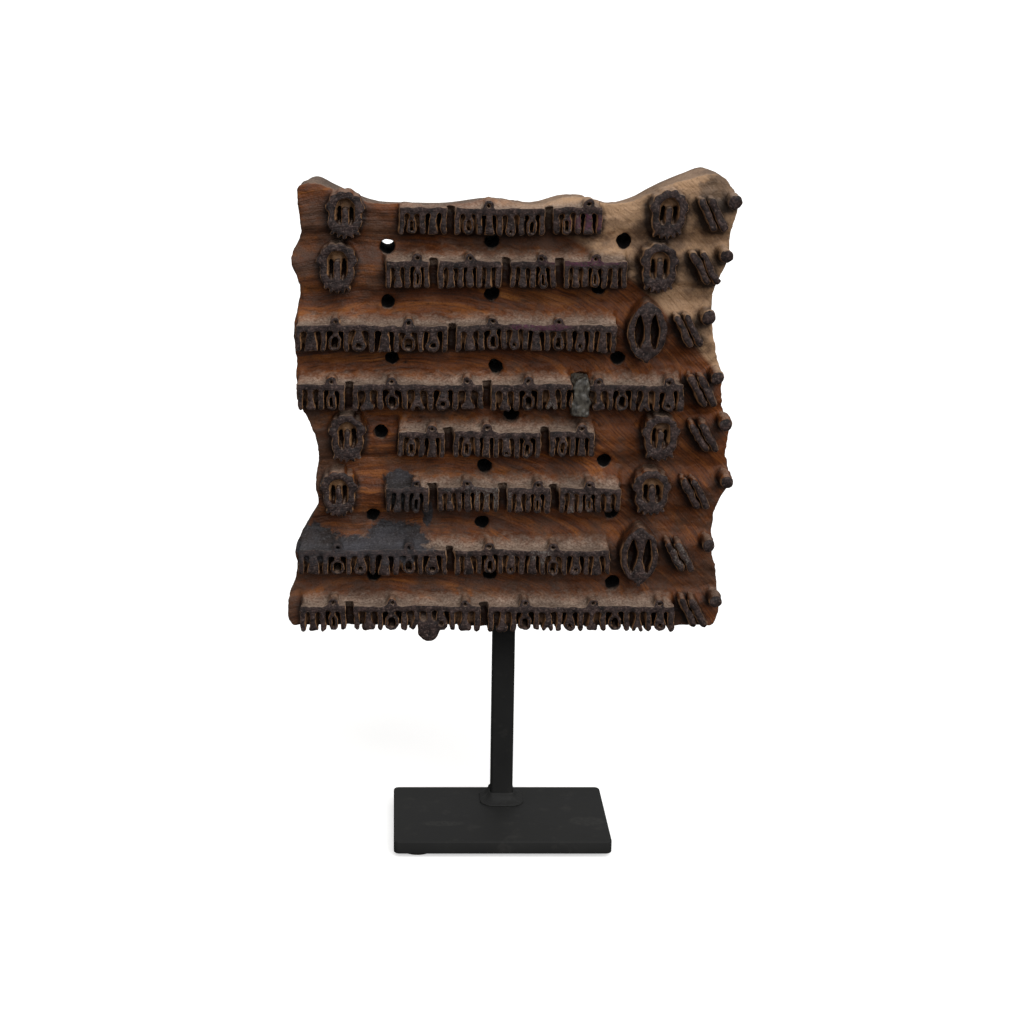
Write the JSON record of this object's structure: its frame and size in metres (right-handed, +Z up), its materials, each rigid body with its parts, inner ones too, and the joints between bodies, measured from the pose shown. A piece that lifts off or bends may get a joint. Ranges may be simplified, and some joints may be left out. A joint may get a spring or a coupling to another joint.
{
  "type": "textile printing block on display stand",
  "caption": "Carved wooden textile printing block with rows of hanging ornament and vent holes, screwed to the square post of a black painted steel display stand with felt feet.",
  "frame": {"origin": "on the floor, under the middle of the base plate and of the block's width", "axes": "+Z up, +X to the right as seen by someone who faces the carving, the printing face looks along -Y"},
  "size_m": [0.1882, 0.06, 0.2972],
  "materials": {
    "block_wood": "gouge-carved hardwood, oiled and dark with old dye",
    "repair_filler": "dull grey-green set filler",
    "stand_paint": "satin black paint on mild steel",
    "screw_steel": "zinc-dulled steel",
    "foot_felt": "pressed dark felt"
  },
  "bodies": {
    "root": {"carved_block": "block_wood", "repair_fill": "repair_filler", "stand_post": "stand_paint", "post_weld": "stand_paint", "base_plate": "stand_paint", "upper_screw": "screw_steel", "lower_screw": "screw_steel", "pad_front_left": "foot_felt", "pad_front_right": "foot_felt", "pad_rear_left": "foot_felt", "pad_rear_right": "foot_felt"}
  },
  "joints": []
}
